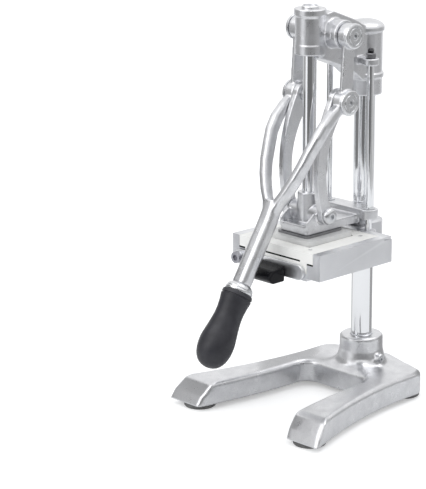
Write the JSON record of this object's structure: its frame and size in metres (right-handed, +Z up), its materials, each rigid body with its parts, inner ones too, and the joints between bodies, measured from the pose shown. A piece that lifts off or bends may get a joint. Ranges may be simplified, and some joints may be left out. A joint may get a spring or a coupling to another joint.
{
  "type": "french fry cutter",
  "caption": "Bench-top vertical french fry cutter: a forked hand lever and curved arms drive a pusher block through a square blade grid held in a tray on a column.",
  "frame": {"origin": "on the bench, under the axis of the column", "axes": "+X to the user's right, -Y to the front where the lever's grip is, +Z up along the column"},
  "size_m": [0.22, 0.2856, 0.43],
  "materials": {
    "cast": "satin polished casting",
    "chrome": "bright plated",
    "steel": "turned",
    "blade": "ground",
    "dark_steel": "black oxide",
    "cream": "moulded",
    "black_plastic": "moulded",
    "black_grip": "moulded, satin",
    "rubber": "moulded"
  },
  "bodies": {
    "stand": {"base_casting": "cast", "rubber_feet": "rubber", "foot_screws": "steel", "column": "chrome", "socket_screw": "dark_steel", "tray_frame": "cast", "tray_screw": "dark_steel", "blade_holder": "cream", "holder_cover": "cream", "holder_screws": "steel", "blades_lengthwise": "blade", "blades_crosswise": "blade", "latch_bolt": "dark_steel", "latch_washer": "steel", "head_casting": "cast", "head_screw": "dark_steel", "guide_rods": "chrome", "guide_nuts": "dark_steel", "piston_bushing": "steel", "top_pivot_screws": "steel"},
    "lever": {"lever_yoke": "cast", "ferrule": "cast", "grip": "black_grip", "side_pivot_screws": "steel"},
    "carriage": {"carriage_casting": "cast", "piston_rod": "chrome", "pusher_plate": "steel", "pusher_block": "cream", "pusher_screws": "steel", "guide_bushes": "steel", "lower_pivot_screws": "steel"},
    "arms": {"connecting_arm_left": "cast", "connecting_arm_right": "cast", "arm_pins": "steel"},
    "latch": {"latch_bar": "chrome", "latch_grip": "black_plastic"}
  },
  "joints": [
    {"name": "lever_hinge", "type": "hinge", "parent": "stand", "child": "lever", "pos_m": [0, -0.0625, 0.4005], "axis": [-1, 0, 0], "range_deg": [0, 120]},
    {"name": "carriage_slide", "type": "slide", "parent": "stand", "child": "carriage", "axis": [0, 0, 1], "range_m": [0, 0.111]},
    {"name": "arm_hinge", "type": "hinge", "parent": "carriage", "child": "arms", "pos_m": [0, -0.0838, 0.2138], "axis": [1, 0, 0], "range_deg": [0, 25]},
    {"name": "latch_hinge", "type": "hinge", "parent": "stand", "child": "latch", "pos_m": [-0.04905, -0.135, 0.1655], "axis": [0, 1, 0], "range_deg": [0, 90]}
  ],
  "couplings": [
    {"joint": "carriage_slide", "follows": "lever_hinge", "m_per_rad": 0.052935},
    {"joint": "arm_hinge", "follows": "lever_hinge", "ratio": 0.20818}
  ]
}
